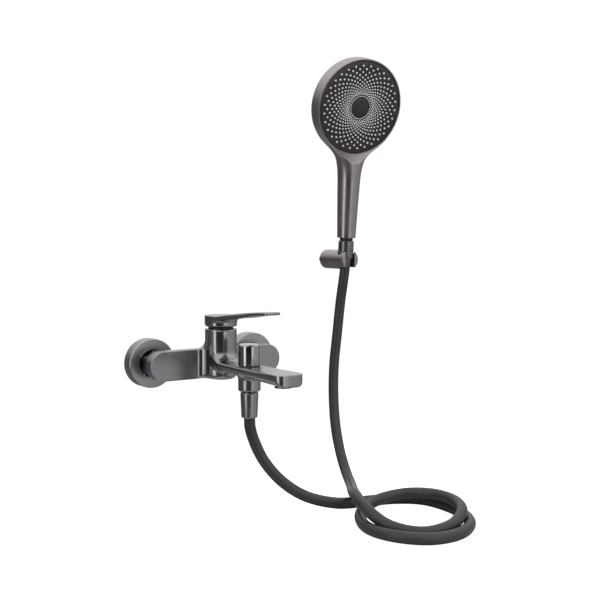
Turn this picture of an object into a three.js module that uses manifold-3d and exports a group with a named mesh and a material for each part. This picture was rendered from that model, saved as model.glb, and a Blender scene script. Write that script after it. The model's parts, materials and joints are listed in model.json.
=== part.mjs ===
// Wall mounted bath and shower mixer: two wall unions, a cast body with a fixed spout, a single
// lever, a pull-up diverter, a hose that lies on the floor below, and a hand shower in a wall
// bracket. Millimetres, +Z up. The wall is the plane Y = 0 and everything stands out towards -Y.
// The origin is the point of the wall midway between the two inlets.
import * as THREE from "three";
import { mergeVertices } from "three/addons/utils/BufferGeometryUtils.js";
import Module from "manifold-3d";

const wasm = await Module();
wasm.setup();

// ---- driving dimensions --------------------------------------------------------------------
const GAP = 0.3; // left between touching pieces
const INLET_X = 75; // half of the standard 150 mm between inlets
const WALL_PIPE_DROP = 6; // how far the eccentric unions drop to the supply pipes

const ESCUTCHEON = { radius: 31.8, depth: 18, wall: 1.4, hole: 17.6 };
const UNION_NUT = { acrossFlats: 30, back: -17, front: -39.6 };
const UNION_THREAD = 13.2;

const ARM = { endX: 76.5, halfHeight: 19.15, back: -40, front: -54.3, edge: 1 };
const COLUMN = { y: -63, radius: 20.5, bottom: -19.15, top: 45 };
const SPOUT = { halfWidth: 19.6, tip: -232.5, cornerRadius: 8, boreZ: -3.2, boreRadius: 3.6 };
const SPOUT_NOSE = { radius: 42, low: 12 };
const SPOUT_ROOT = { y: -60, top: 4.8, bottom: -6.1 };
const SPOUT_TIP = { top: 4.8, bottom: -10.2 };
const AERATOR_Y = -211.5;
const DIVERTER_Y = -134.5;
const BOSS = { radius: 14, bottom: -27.8 };

const CARTRIDGE = { radius: 14.4, floor: 8, pivotZ: 40 };
const NECK = { radius: 16.1, top: 48 };
const HANDLE = { radius: 20.9, bottom: 48.4, top: 62.7, tip: -191, rise: 6 };

const HOSE_RADIUS = 7;
const BRACKET = { x: 211.3, z: 130.4, radius: 13.7, front: -56.7, slot: 15.6 };
const SEAT = { x: BRACKET.x, y: -44.85, z: BRACKET.z, lean: 3.1, spin: -4 };
const HEAD = { radius: 65.3, faceY: -23.6, faceZ: 210, tilt: 13.9, depth: 28 };

const degrees = THREE.MathUtils.degToRad;

// ---- finishes ------------------------------------------------------------------------------
const FINISH = {
  gunmetal: [0x6d696c, 0.3, 1],
  rose: [0xa39c99, 0.35, 1],
  satin: [0x77706e, 0.45, 1],
  polished: [0x8a8688, 0.12, 1],
  darkSteel: [0x3b3a3d, 0.35, 1],
  brass: [0xb08a45, 0.3, 1],
  steel: [0xa8a8aa, 0.35, 1],
  whitePlastic: [0xd8d6d0, 0.5, 0],
  blackPlastic: [0x1c1c1e, 0.4, 0],
  rubber: [0x151515, 0.8, 0],
  ceramic: [0xe6e2da, 0.3, 0],
  charcoal: [0x3f3d40, 0.5, 0],
  silicone: [0xd9d9d9, 0.6, 0],
  vinyl: [0x454346, 0.55, 0],
};

// ---- solids --------------------------------------------------------------------------------
// A closed three.js geometry as a manifold solid whose faces point outwards.
function solid(geometry) {
  const bare = geometry.clone();
  bare.deleteAttribute("normal");
  bare.deleteAttribute("uv");
  const merged = mergeVertices(bare, 1e-4);
  const vertProperties = new Float32Array(merged.attributes.position.array);
  const triVerts = new Uint32Array(merged.index.array);
  const made = new wasm.Manifold(new wasm.Mesh({ numProp: 3, vertProperties, triVerts }));
  if (made.volume() > 0) return made;
  for (let i = 0; i < triVerts.length; i += 3) {
    const first = triVerts[i];
    triVerts[i] = triVerts[i + 1];
    triVerts[i + 1] = first;
  }
  return new wasm.Manifold(new wasm.Mesh({ numProp: 3, vertProperties, triVerts }));
}

function geometryOf(made) {
  const mesh = made.getMesh();
  const geometry = new THREE.BufferGeometry();
  geometry.setAttribute("position", new THREE.BufferAttribute(mesh.vertProperties, 3));
  geometry.setIndex(new THREE.BufferAttribute(mesh.triVerts, 1));
  geometry.computeVertexNormals();
  return geometry;
}

const join = (...parts) => parts.reduce((sum, part) => sum.add(part));
const cut = (part, ...tools) => tools.reduce((left, tool) => left.subtract(tool), part);

// A turned piece: profile points are [radius, height along the axis].
function turned(profile, axis = "z", segments = 24, at = [0, 0, 0]) {
  const points = profile.map(([r, h]) => new THREE.Vector2(r, h));
  const geometry = new THREE.LatheGeometry(points, segments);
  if (axis === "z") geometry.rotateX(Math.PI / 2);
  if (axis === "x") geometry.rotateZ(-Math.PI / 2);
  geometry.translate(...at);
  return solid(geometry);
}

const rod = (radius, low, high, axis = "z", at = [0, 0, 0], segments = 16) =>
  turned([[0, low], [radius, low], [radius, high], [0, high]], axis, segments, at);

const ring = (inner, outer, low, high, axis = "z", at = [0, 0, 0], segments = 20) =>
  turned(
    [[inner, low], [outer, low], [outer, high], [inner, high], [inner, low]],
    axis,
    segments,
    at,
  );

function block(low, high) {
  const size = high.map((value, i) => value - low[i]);
  const geometry = new THREE.BoxGeometry(...size);
  geometry.translate(...high.map((value, i) => (value + low[i]) / 2));
  return solid(geometry);
}

// A prism of a shape drawn in two axes and run between two values of the third.
function prism(shape, plane, from, to, curveSegments = 8, bevel = 0) {
  const bevelling = { bevelEnabled: bevel > 0, bevelThickness: bevel, bevelSize: bevel };
  const options = { depth: to - from - 2 * bevel, curveSegments, bevelSegments: 1, ...bevelling };
  const geometry = new THREE.ExtrudeGeometry(shape, { ...options, bevelOffset: -bevel });
  geometry.translate(0, 0, from + bevel);
  const basis = {
    xy: [[1, 0, 0], [0, 1, 0], [0, 0, 1]],
    xz: [[1, 0, 0], [0, 0, 1], [0, -1, 0]],
    yz: [[0, 1, 0], [0, 0, 1], [1, 0, 0]],
  }[plane].map((v) => new THREE.Vector3(...v));
  geometry.applyMatrix4(new THREE.Matrix4().makeBasis(...basis));
  return solid(geometry);
}

function polygon(points) {
  return new THREE.Shape(points.map(([u, v]) => new THREE.Vector2(u, v)));
}

// A hexagonal prism along Y.
function hexagon(acrossFlats, low, high, at) {
  const corner = acrossFlats / 2 / Math.cos(Math.PI / 6);
  return rod(corner, low, high, "y", at, 6);
}

// A skin of round sections along Z: each is [z, centre y, half width in x, half width in y].
function loft(sections, segments = 28) {
  const last = sections.length - 1;
  const geometry = new THREE.CylinderGeometry(1, 1, last, segments, last);
  geometry.rotateX(Math.PI / 2);
  const place = geometry.attributes.position;
  for (let i = 0; i < place.count; i += 1) {
    const level = Math.round(place.getZ(i) + last / 2);
    const [z, y, halfX, halfY] = sections[level];
    place.setXYZ(i, place.getX(i) * halfX, y + place.getY(i) * halfY, z);
  }
  return solid(geometry);
}

// ---- scene graph ---------------------------------------------------------------------------
const group = new THREE.Group();

function material(finish) {
  const [color, roughness, metalness] = FINISH[finish];
  return new THREE.MeshStandardMaterial({ color, roughness, metalness });
}

function add(name, made, finish, parent = group) {
  const mesh = new THREE.Mesh(geometryOf(made), material(finish));
  mesh.name = name;
  parent.add(mesh);
}

// ---- wall unions ---------------------------------------------------------------------------
function wallUnion(side, x) {
  const at = [x, 0, 0];
  const tailAt = [x, 0, -WALL_PIPE_DROP];
  const cup = [
    [ESCUTCHEON.radius - ESCUTCHEON.wall, 0],
    [ESCUTCHEON.radius, 0],
    [ESCUTCHEON.radius, 1 - ESCUTCHEON.depth],
    [ESCUTCHEON.radius - 1, -ESCUTCHEON.depth],
    [ESCUTCHEON.hole, -ESCUTCHEON.depth],
    [ESCUTCHEON.hole, ESCUTCHEON.wall - ESCUTCHEON.depth],
    [ESCUTCHEON.radius - ESCUTCHEON.wall, ESCUTCHEON.wall - ESCUTCHEON.depth],
    [ESCUTCHEON.radius - ESCUTCHEON.wall, 0],
  ];
  add(`${side}_escutcheon`, turned(cup, "y", 40, at), "rose");
  const seal = rod(ESCUTCHEON.radius - ESCUTCHEON.wall - GAP, -2.6, -0.4, "y", at, 40);
  add(`${side}_seal_ring`, cut(seal, rod(10.7, -3, 0, "y", tailAt, 24)), "rubber");

  const threadEnd = -27;
  const outside = join(
    rod(10.4, -6, 15, "y", tailAt),
    rod(UNION_THREAD - 1.2, -12, -5, "y", at),
    rod(UNION_THREAD, threadEnd, -12, "y", at),
  );
  const water = [rod(6.5, -8, 16, "y", tailAt), rod(6.5, threadEnd - 1, -4, "y", at)];
  add(`${side}_eccentric_union`, cut(outside, ...water), "darkSteel");

  const flangeBack = -30;
  const washer = ring(5, UNION_THREAD - 1, flangeBack + GAP, threadEnd - GAP, "y", at, 24);
  const strainer = rod(8, flangeBack + 1, flangeBack + 1.8, "y", at);
  add(`${side}_filter_washer`, join(washer, strainer), "rubber");

  const nipple = [
    [5, flangeBack],
    [UNION_THREAD - 0.6, flangeBack],
    [UNION_THREAD - 0.6, flangeBack - 3],
    [9.4, flangeBack - 3],
    [9.4, -46],
    [5, -46],
    [5, flangeBack],
  ];
  add(`${side}_inlet_nipple`, turned(nipple, "y", 20, at), "darkSteel");

  const hex = hexagon(UNION_NUT.acrossFlats, UNION_NUT.front, UNION_NUT.back, at);
  const threadBore = rod(UNION_THREAD + GAP, flangeBack - 3 - GAP, UNION_NUT.back + 1, "y", at);
  const lipBore = rod(9.4 + GAP, UNION_NUT.front - 1, flangeBack, "y", at);
  add(`${side}_union_nut`, cut(hex, threadBore, lipBore), "darkSteel");
}
wallUnion("left", -INLET_X);
wallUnion("right", INLET_X);

// ---- cast body with arms, column and spout -------------------------------------------------
function armShape() {
  const shape = new THREE.Shape();
  shape.absarc(ARM.endX, 0, ARM.halfHeight, -Math.PI / 2, Math.PI / 2, false);
  shape.absarc(-ARM.endX, 0, ARM.halfHeight, Math.PI / 2, (3 * Math.PI) / 2, false);
  return shape;
}

function spoutSolid() {
  const { halfWidth, tip, cornerRadius } = SPOUT;
  const plan = new THREE.Shape();
  // The nose is a shallow arc in plan, joined to the sides by rounded corners.
  const reach = SPOUT_NOSE.radius - cornerRadius;
  const across = halfWidth - cornerRadius;
  const cornerY = tip + SPOUT_NOSE.radius - Math.sqrt(reach * reach - across * across);
  const turn = Math.asin(across / reach);
  const corner = (side, from, to) => plan.absarc(side * across, cornerY, cornerRadius, from, to);
  plan.moveTo(-halfWidth, SPOUT_ROOT.y);
  corner(-1, Math.PI, 1.5 * Math.PI - turn);
  const nose = [1.5 * Math.PI - turn, 1.5 * Math.PI + turn];
  plan.absarc(0, tip + SPOUT_NOSE.radius, SPOUT_NOSE.radius, ...nose);
  corner(1, 1.5 * Math.PI + turn, 2 * Math.PI);
  plan.lineTo(halfWidth, SPOUT_ROOT.y);
  const side = polygon([
    [SPOUT_ROOT.y, SPOUT_ROOT.top],
    [tip + 1.2, SPOUT_TIP.top],
    [tip, SPOUT_TIP.top - 1.2],
    [tip, SPOUT_TIP.bottom + 2.4],
    [tip + 2.4, SPOUT_TIP.bottom],
    [SPOUT_ROOT.y, SPOUT_ROOT.bottom],
  ]);
  const under = SPOUT_NOSE.low;
  const shoulder = 3;
  const section = new THREE.Shape();
  section.absarc(-halfWidth + under, SPOUT_TIP.bottom + under, under, Math.PI, 1.5 * Math.PI);
  section.absarc(halfWidth - under, SPOUT_TIP.bottom + under, under, 1.5 * Math.PI, 2 * Math.PI);
  section.lineTo(halfWidth, SPOUT_ROOT.top - shoulder);
  section.lineTo(halfWidth - shoulder, SPOUT_ROOT.top);
  section.lineTo(-halfWidth + shoulder, SPOUT_ROOT.top);
  section.lineTo(-halfWidth, SPOUT_ROOT.top - shoulder);
  return prism(plan, "xy", -30, 30)
    .intersect(prism(side, "yz", -30, 30))
    .intersect(prism(section, "xz", -SPOUT_ROOT.y, 1 - tip, 5));
}

// The hollow left by a rounded inside corner: two straight legs and a quarter circle.
function cornerFill(corner, legU, legV, radius) {
  const [u, v] = corner;
  const shape = new THREE.Shape();
  shape.moveTo(u - legU * 2, v - legV * 2);
  shape.lineTo(u + legU * radius, v - legV * 2);
  const centre = [u + legU * radius, v + legV * radius];
  const steps = 6;
  for (let i = 0; i <= steps; i += 1) {
    const angle = (Math.PI / 2) * (i / steps);
    shape.lineTo(
      centre[0] - legU * radius * Math.sin(angle),
      centre[1] - legV * radius * Math.cos(angle),
    );
  }
  shape.lineTo(u - legU * 2, v + legV * radius);
  return shape;
}

function bodySolid() {
  const onColumn = [0, COLUMN.y, 0];
  const arms = prism(armShape(), "xz", -ARM.back, -ARM.front, 14, ARM.edge);
  const { radius, bottom, top } = COLUMN;
  const round = 6;
  const columnProfile = [
    [0, bottom],
    [radius - round, bottom],
    [radius - 0.3 * round, bottom + 0.3 * round],
    [radius, bottom + round],
    [radius, top - 0.6],
    [radius - 0.6, top],
    [0, top],
  ];
  const column = turned(columnProfile, "z", 40, onColumn);
  const spoutFillet = cornerFill([COLUMN.y - radius + 0.6, 4.2], -1, 1, 14);
  const fills = [prism(spoutFillet, "yz", -11, 11)];
  for (const side of [-1, 1]) {
    const upper = cornerFill([side * (radius - 0.6), ARM.halfHeight - 0.2], side, 1, 11.5);
    fills.push(prism(upper, "xz", -ARM.back + 2.6, -ARM.front - ARM.edge, 4));
    const front = cornerFill([side * (radius - 1.5), ARM.front + 0.2], side, -1, 11.5);
    fills.push(prism(front, "xy", -ARM.halfHeight + 1.2, ARM.halfHeight - 1.2, 4));
  }
  const bossProfile = [
    [0, -5],
    [17, -6],
    [16.4, -9],
    [14.7, -13],
    [BOSS.radius, -18],
    [BOSS.radius, BOSS.bottom + 2.6],
    [9.8, BOSS.bottom],
    [0, BOSS.bottom],
  ];
  const boss = turned(bossProfile, "z", 32, [0, DIVERTER_Y, 0]);
  return join(arms, column, spoutSolid(), boss, ...fills);
}

function bodyHollows() {
  const onColumn = [0, COLUMN.y, 0];
  const onDiverter = [0, DIVERTER_Y, 0];
  const onAerator = [0, AERATOR_Y, 0];
  const hollows = [
    rod(CARTRIDGE.radius + GAP, CARTRIDGE.floor, COLUMN.top + 1, "z", onColumn, 28),
    rod(17, 36, COLUMN.top + 1, "z", onColumn, 32),
    rod(SPOUT.boreRadius, SPOUT.boreZ, CARTRIDGE.floor + 1, "z", [0, COLUMN.y - 7, 0], 16),
    rod(SPOUT.boreRadius, AERATOR_Y, COLUMN.y - 5, "y", [0, 0, SPOUT.boreZ], 16),
    rod(9.6, SPOUT_TIP.bottom - 2, -4.2, "z", onAerator, 24),
    rod(8.2 + GAP, 0.5, 8, "z", onDiverter, 20),
    rod(6.3, -18.6, 8, "z", onDiverter, 20),
    rod(4.2, BOSS.bottom - 1, -18, "z", onDiverter, 16),
    rod(9.6 + GAP, BOSS.bottom - 1, -22, "z", onDiverter, 20),
  ];
  for (const side of [-1, 1]) {
    const inletAt = [side * INLET_X, 0, 0];
    hollows.push(rod(9.4 + GAP, -46 - GAP, -39, "y", inletAt));
    hollows.push(rod(4, -50, -45, "y", inletAt, 16));
    const low = Math.min(side * INLET_X, side * 7);
    const high = Math.max(side * INLET_X, side * 7);
    hollows.push(rod(3.6, low, high, "x", [0, -48.3, 0], 16));
    hollows.push(rod(3.6, COLUMN.y + 5, -46, "y", [side * 7, 0, 0], 16));
    hollows.push(rod(3.2, -1, CARTRIDGE.floor + 1, "z", [side * 7, COLUMN.y + 5, 0], 16));
  }
  return hollows;
}
add("faucet_body", cut(bodySolid(), ...bodyHollows()), "gunmetal");

// ---- cartridge -----------------------------------------------------------------------------
const cartridge = new THREE.Group();
cartridge.position.set(0, COLUMN.y, 0);
group.add(cartridge);

// The two inlet ports and the outlet port, cut through a plate of the cartridge.
function ports(radius, low, high) {
  const places = [[-7, 5], [7, 5], [0, -7]];
  return places.map(([x, y]) => rod(radius, low, high, "z", [x, y, 0], 14));
}
add("seat_gasket", cut(rod(13.6, 8.3, 9.8), ...ports(3, 7, 11)), "rubber", cartridge);
add("cartridge_base", cut(rod(CARTRIDGE.radius, 10.1, 15), ...ports(3, 9, 16)), "whitePlastic", cartridge);
add("fixed_disc", cut(rod(11.6, 15.3, 18.8), ...ports(2.8, 14, 20)), "ceramic", cartridge);
const mixingPocket = block([-5.5, -6, 18], [5.5, 5, 20.6]);
add("moving_disc", cut(rod(8.4, 19.1, 22.1), mixingPocket), "ceramic", cartridge);
add("disc_carrier", cut(rod(8.4, 22.4, 33), rod(4.6, 25.6, 34)), "whitePlastic", cartridge);
const housing = [
  [12.4, 15.3],
  [CARTRIDGE.radius, 15.3],
  [CARTRIDGE.radius, 36],
  [10.6, 36],
  [10.6, 44.4],
  [9.3, 44.4],
  [9.3, 33.6],
  [12.4, 33.6],
  [12.4, 15.3],
];
add("cartridge_housing", turned(housing), "blackPlastic", cartridge);
const pivotAt = [0, 0, CARTRIDGE.pivotZ];
const turret = cut(
  rod(9, 33.9, 44.2, "z", [0, 0, 0], 32),
  block([-4.6, -6.9, 33], [4.6, 6.9, 45]),
  rod(1.5 + GAP, -10, 10, "x", pivotAt, 16),
);
add("cartridge_turret", turret, "whitePlastic", cartridge);
add("pivot_pin", rod(1.5, -8.4, 8.4, "x", pivotAt, 16), "steel", cartridge);
const stemProfile = [
  [0, 27],
  [2.4, 27.2],
  [3.7, 28.8],
  [3.7, 31],
  [2.6, 33],
  [4.2, 35.4],
  [4.2, 58.4],
  [0, 58.4],
];
const stem = cut(turned(stemProfile, "z", 24), rod(1.5 + GAP, -10, 10, "x", pivotAt, 16));
add("cartridge_stem", stem, "steel", cartridge);
add("retaining_nut", ring(10.6 + GAP, 16.7, 36.3, 44.5), "brass", cartridge);
const neckProfile = [
  [12.4, 44.8],
  [NECK.radius, 44.8],
  [NECK.radius, NECK.top - 0.5],
  [NECK.radius - 0.5, NECK.top],
  [12.4, NECK.top],
  [12.4, 44.8],
];
add("neck_ring", turned(neckProfile, "z", 32), "blackPlastic", cartridge);

// ---- lever handle --------------------------------------------------------------------------
// Its frame stands on the column's axis, so the lever runs towards local -Y.
function leverSolid() {
  const { radius, top, tip, rise } = HANDLE;
  const reach = COLUMN.y - tip;
  const rootHalf = radius - 1.5;
  const tipHalf = 11;
  const corner = 5;
  const plan = new THREE.Shape();
  plan.moveTo(-rootHalf, 0);
  plan.lineTo(-tipHalf, corner - reach);
  plan.absarc(corner - tipHalf, corner - reach, corner, Math.PI, 1.5 * Math.PI);
  plan.absarc(tipHalf - corner, corner - reach, corner, 1.5 * Math.PI, 2 * Math.PI);
  plan.lineTo(rootHalf, 0);
  const slope = Math.tan(degrees(rise));
  const topRoot = top - 0.4;
  const start = -radius * 0.4;
  const topTip = topRoot + slope * (reach - radius + 3);
  const bend = -radius - 42;
  const topBend = topRoot + slope * 45 + 2;
  const side = polygon([
    [start, topRoot],
    [3 - radius, topRoot],
    [bend, topBend],
    [-reach, topTip],
    [-reach, topTip - 3.6],
    [bend, topBend - 4.6],
    [-radius - 10, topRoot - 4.6 + slope * 12],
    [-radius - 4.5, topRoot - 5.2 + slope * 5],
    [-radius + 1, topRoot - 12],
    [start, topRoot - 12],
  ]);
  return prism(plan, "xy", 30, 110, 4).intersect(prism(side, "yz", -30, 30));
}

function handleSolid() {
  const { radius, bottom, top } = HANDLE;
  const edge = 2;
  const base = turned(
    [
      [0, bottom],
      [radius - edge, bottom],
      [radius, bottom + edge],
      [radius, top - 0.8],
      [radius - 0.8, top],
      [0, top],
    ],
    "z",
    56,
  );
  const ceiling = 57.2;
  const hollow = rod(17.4, bottom - 1, ceiling, "z", [0, 0, 0], 28);
  const socket = rod(7, 52, ceiling + 1);
  // The back of the underside slopes up, so the lever can lift without meeting the column.
  const relief = polygon([
    [3, bottom - 0.01],
    [40, bottom + 37 * 0.31],
    [40, bottom - 10],
    [3, bottom - 10],
  ]);
  const shell = cut(join(base, leverSolid()), hollow, prism(relief, "yz", -30, 30));
  const screwHole = rod(2.2, 3, radius + 2, "y", [0, 0, 58.2], 16);
  const plugHole = rod(3.2, radius - 2.4, radius + 2, "y", [0, 0, 58.2], 20);
  return cut(join(shell, socket), rod(4.2 + GAP, 50, 58.8), screwHole, plugHole);
}
add("handle", handleSolid(), "gunmetal", cartridge);
add("handle_grub_screw", rod(1.9, 5, 15, "y", [0, 0, 58.2], 16), "steel", cartridge);
const plugFace = HANDLE.radius - 0.25;
add("index_plug", rod(2.9, HANDLE.radius - 2.1, plugFace, "y", [0, 0, 58.2], 20), "polished", cartridge);

// ---- diverter ------------------------------------------------------------------------------
const diverter = new THREE.Group();
diverter.position.set(0, DIVERTER_Y, 0);
group.add(diverter);

const DIVERTER_LIFT = 7;
const knobProfile = [
  [0, 5.4],
  [13.4, 5.4],
  [14, 6],
  [14, 30.3],
  [12.8, 31.5],
  [0, 31.5],
];
add("diverter_knob", cut(turned(knobProfile, "z", 40), rod(2.5, 5, 25)), "polished", diverter);
const stemLow = -12;
add("diverter_stem", rod(2.1, stemLow, 24.6, "z", [0, 0, 0], 20), "brass", diverter);
const bonnetProfile = [
  [2.5, 5],
  [2.5, -0.2],
  [4.6, -0.2],
  [4.6, -3],
  [5.9, -3],
  [5.9, 0.8],
  [8.2, 0.8],
  [8.2, 4],
  [4.4, 4],
  [4.4, 5],
  [2.5, 5],
];
add("diverter_bonnet", turned(bonnetProfile, "z", 20), "brass", diverter);
const plungerTop = stemLow - GAP;
add("diverter_plunger", rod(5.6, plungerTop - 3.6, plungerTop), "whitePlastic", diverter);
add("plunger_seal", ring(2, 5.4, -18.2, plungerTop - 3.9, "z", [0, 0, 0], 24), "rubber", diverter);

function springSolid() {
  const springTop = -0.9;
  const springBottom = stemLow + 0.6;
  const turns = 4;
  const steps = 10 * turns;
  const radius = 3.5;
  const points = [];
  for (let i = 0; i <= steps; i += 1) {
    const angle = (2 * Math.PI * turns * i) / steps;
    const height = springBottom + ((springTop - springBottom) * i) / steps;
    points.push(new THREE.Vector3(radius * Math.cos(angle), radius * Math.sin(angle), height));
  }
  const wire = polygon([[0.45, 0], [0, 0.45], [-0.45, 0], [0, -0.45]]);
  const path = new THREE.CatmullRomCurve3(points);
  return solid(new THREE.ExtrudeGeometry(wire, { steps, extrudePath: path }));
}
add("diverter_spring", springSolid(), "steel", diverter);

// ---- aerator -------------------------------------------------------------------------------
const aerator = new THREE.Group();
aerator.position.set(0, AERATOR_Y, 0);
group.add(aerator);
const aeratorRim = [
  [7.9, -12.4],
  [10.4, -12.4],
  [10.4, -10.7],
  [9.3, -10.7],
  [9.3, -6.6],
  [7.9, -6.6],
  [7.9, -12.4],
];
add("aerator_housing", turned(aeratorRim), "gunmetal", aerator);
add("aerator_insert", rod(7.6, -8, -6.9, "z", [0, 0, 0], 28), "whitePlastic", aerator);
add("aerator_washer", ring(4.6, 9, -6.3, -4.6, "z", [0, 0, 0], 28), "rubber", aerator);

// ---- shower outlet and lower hose end ------------------------------------------------------
const outletNipple = [[4.4, -22.4], [9.6, -22.4], [9.6, -37], [4.4, -37], [4.4, -22.4]];
add("shower_outlet_nipple", turned(outletNipple), "darkSteel", diverter);
add("lower_hose_washer", ring(4.6, 9, -39.2, -37.3), "rubber", diverter);
const lowerFerrule = [
  [3.6, -39.5],
  [9, -39.5],
  [9, -41.6],
  [6.6, -41.6],
  [6.6, -57],
  [3.6, -57],
  [3.6, -39.5],
];
add("lower_hose_ferrule", turned(lowerFerrule), "brass", diverter);
const HOSE_NUT_BOTTOM = -59.3;
const lowerNut = [
  [9.9, -28.5],
  [10.9, -28.5],
  [11.3, -29],
  [10.1, HOSE_NUT_BOTTOM + 1.2],
  [9.2, HOSE_NUT_BOTTOM],
  [7.4, HOSE_NUT_BOTTOM],
  [7.4, -42],
  [9.9, -42],
  [9.9, -28.5],
];
add("lower_hose_nut", turned(lowerNut, "z", 28), "gunmetal", diverter);

// ---- wall bracket --------------------------------------------------------------------------
const bracket = new THREE.Group();
bracket.position.set(BRACKET.x, 0, BRACKET.z);
group.add(bracket);

const seatAxis = new THREE.Matrix4()
  .makeTranslation(0, SEAT.y, 0)
  .multiply(new THREE.Matrix4().makeRotationX(degrees(SEAT.lean)));

function bracketSolid() {
  const { radius, front, slot } = BRACKET;
  const profile = [
    [0, 0],
    [radius - 1, 0],
    [radius, -1],
    [radius, front + 0.8],
    [radius - 0.8, front],
    [0, front],
  ];
  const seatProfile = [
    [0, -24],
    [8.2, -24],
    [8.2, -10],
    [9.4, 2.3],
    [11.3, 2.3],
    [11.3, 24],
    [0, 24],
  ].map(([r, h]) => new THREE.Vector2(r, h));
  const seat = new THREE.LatheGeometry(seatProfile, 28);
  seat.rotateX(Math.PI / 2);
  seat.applyMatrix4(seatAxis);
  const slotBox = block([-slot / 2, front - 2, -30], [slot / 2, SEAT.y, 30]);
  const puckBore = rod(9.3, -16.5, 1, "y", [0, 0, 0], 32);
  const grubBore = rod(2.2, -radius - 1, -8, "z", [0, -7, 0], 16);
  return cut(turned(profile, "y", 40), solid(seat), slotBox, puckBore, grubBore);
}
add("wall_bracket", bracketSolid(), "satin", bracket);
const screwThrough = rod(2.6, -20, 2, "y");
add("bracket_puck", cut(rod(9, -12, -0.2, "y", [0, 0, 0], 28), screwThrough), "steel", bracket);
const puckScrew = [[0, -15.2], [3.8, -15.2], [4.4, -12.3], [2.2, -12.3], [2.2, 12.5], [0, 14.5]];
add("puck_screw", turned(puckScrew, "y", 20), "steel", bracket);
add("wall_anchor", ring(2.5, 4, 0.4, 15, "y", [0, 0, 0], 20), "whitePlastic", bracket);
add("bracket_grub_screw", rod(1.9, -13.2, -9.4, "z", [0, -7, 0], 16), "steel", bracket);

// ---- hand shower ---------------------------------------------------------------------------
// Its frame stands on the axis of the bracket's seat, and leans with it.
const shower = new THREE.Group();
shower.position.set(SEAT.x, SEAT.y, SEAT.z);
shower.rotation.x = degrees(SEAT.lean);
group.add(shower);

const NUT_TOP = 26.8;
const coneNut = [
  [7.3, -10],
  [7.9, -10],
  [9, 2.6],
  [10.6, 2.6],
  [10.9, 11],
  [10.9, NUT_TOP - 1.3],
  [9.8, NUT_TOP],
  [9.4, NUT_TOP],
  [9.4, 8.6],
  [7.3, 8.6],
  [7.3, -10],
];
add("cone_nut", turned(coneNut, "z", 28), "darkSteel", shower);
const upperFerrule = [
  [3.6, 11.2],
  [3.6, -7.2],
  [6.6, -7.2],
  [6.6, 8.9],
  [9, 8.9],
  [9, 11.2],
  [3.6, 11.2],
];
add("upper_hose_ferrule", turned(upperFerrule), "brass", shower);
add("upper_hose_washer", ring(4.6, 9, 11.5, 13.2), "rubber", shower);

const hand = new THREE.Group();
hand.rotation.z = degrees(SEAT.spin);
shower.add(hand);

const GRIP_BOTTOM = 30.8;
const inletBottom = 13.5;
const inletProfile = [
  [4.6, inletBottom],
  [9.1, inletBottom],
  [9.1, GRIP_BOTTOM + 8],
  [4.6, GRIP_BOTTOM + 8],
  [4.6, inletBottom],
];
add("shower_inlet", turned(inletProfile), "blackPlastic", hand);
add("flow_filter", rod(7.6, GRIP_BOTTOM + 8.3, GRIP_BOTTOM + 10.3), "whitePlastic", hand);

// A turned piece on the axis of the spray face, which looks forwards and down: height 0 is the
// face, positive is behind it.
function onFace(profile, segments = 40) {
  const points = profile.map(([r, h]) => new THREE.Vector2(r, h));
  const geometry = new THREE.LatheGeometry(points, segments);
  geometry.rotateX(degrees(HEAD.tilt));
  geometry.translate(0, HEAD.faceY, HEAD.faceZ);
  return solid(geometry);
}

function showerShell() {
  const { radius, depth } = HEAD;
  const grip = loft([
    [GRIP_BOTTOM, 0, 12.2, 12.2],
    [GRIP_BOTTOM + 0.8, 0, 13, 13],
    [60, 0, 14.1, 14.1],
    [90, -0.4, 15.2, 15.2],
    [117, -1, 16.3, 16],
    [127, -1.6, 17.8, 16.2],
    [137, -2.4, 20.4, 16],
    [147, -3.4, 25, 15],
    [156, -4, 31.5, 12.6],
    [164, -4.4, 38, 9.6],
    [176, -5, 36, 7],
  ]);
  const dome = onFace([
    [0, depth],
    [42, depth - 0.4],
    [52, depth - 1.2],
    [58.8, depth - 2.5],
    [63.6, depth - 5],
    [radius + 0.4, depth - 9],
    [radius + 0.7, 12],
    [radius + 0.4, 0.6],
    [radius - 0.3, 0],
    [0, 0],
  ]);
  // The front of the grip ends in a shoulder below the face, and a scoop leads up to the rim.
  const scoop = onFace([
    [0, -0.05],
    [radius + 0.2, -0.05],
    [radius + 1.2, -2.5],
    [radius + 3.6, -6.4],
    [radius + 7, -10.2],
    [radius + 11, -13.4],
    [radius + 11, -45],
    [0, -45],
  ]);
  const facePocket = onFace([[0, 7], [radius - 1.8, 7], [radius - 1.8, -1], [0, -1]]);
  const chamber = onFace([[0, depth - 3], [42, depth - 3.6], [54, depth - 7], [56, 6.9], [0, 6.9]], 24);
  const water = rod(4.5, GRIP_BOTTOM + 8, 172, "z", [0, 1, 0], 16);
  const inletBore = rod(9.4, GRIP_BOTTOM - 1, GRIP_BOTTOM + 12, "z", [0, 0, 0], 20);
  return cut(join(grip, dome), scoop, facePocket, chamber, water, inletBore);
}
add("shower_shell", showerShell(), "satin", hand);

const faceRadius = HEAD.radius - 1.8 - GAP;
const faceProfile = [[16.4, 0.4], [faceRadius, 0.4], [faceRadius, 3], [16.4, 3], [16.4, 0.4]];
add("face_plate", onFace(faceProfile), "charcoal", hand);
const matProfile = [[0, 3.3], [faceRadius - 2, 3.3], [faceRadius - 2, 4.8], [0, 4.8]];
add("nozzle_mat", onFace(matProfile, 32), "silicone", hand);
add("centre_cap", onFace([[0, 0.6], [15.9, 0.6], [15.9, 3], [0, 3]], 28), "charcoal", hand);
add("spray_plate", onFace([[8, 5.1], [60, 5.1], [60, 6.6], [8, 6.6], [8, 5.1]], 28), "whitePlastic", hand);

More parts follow.
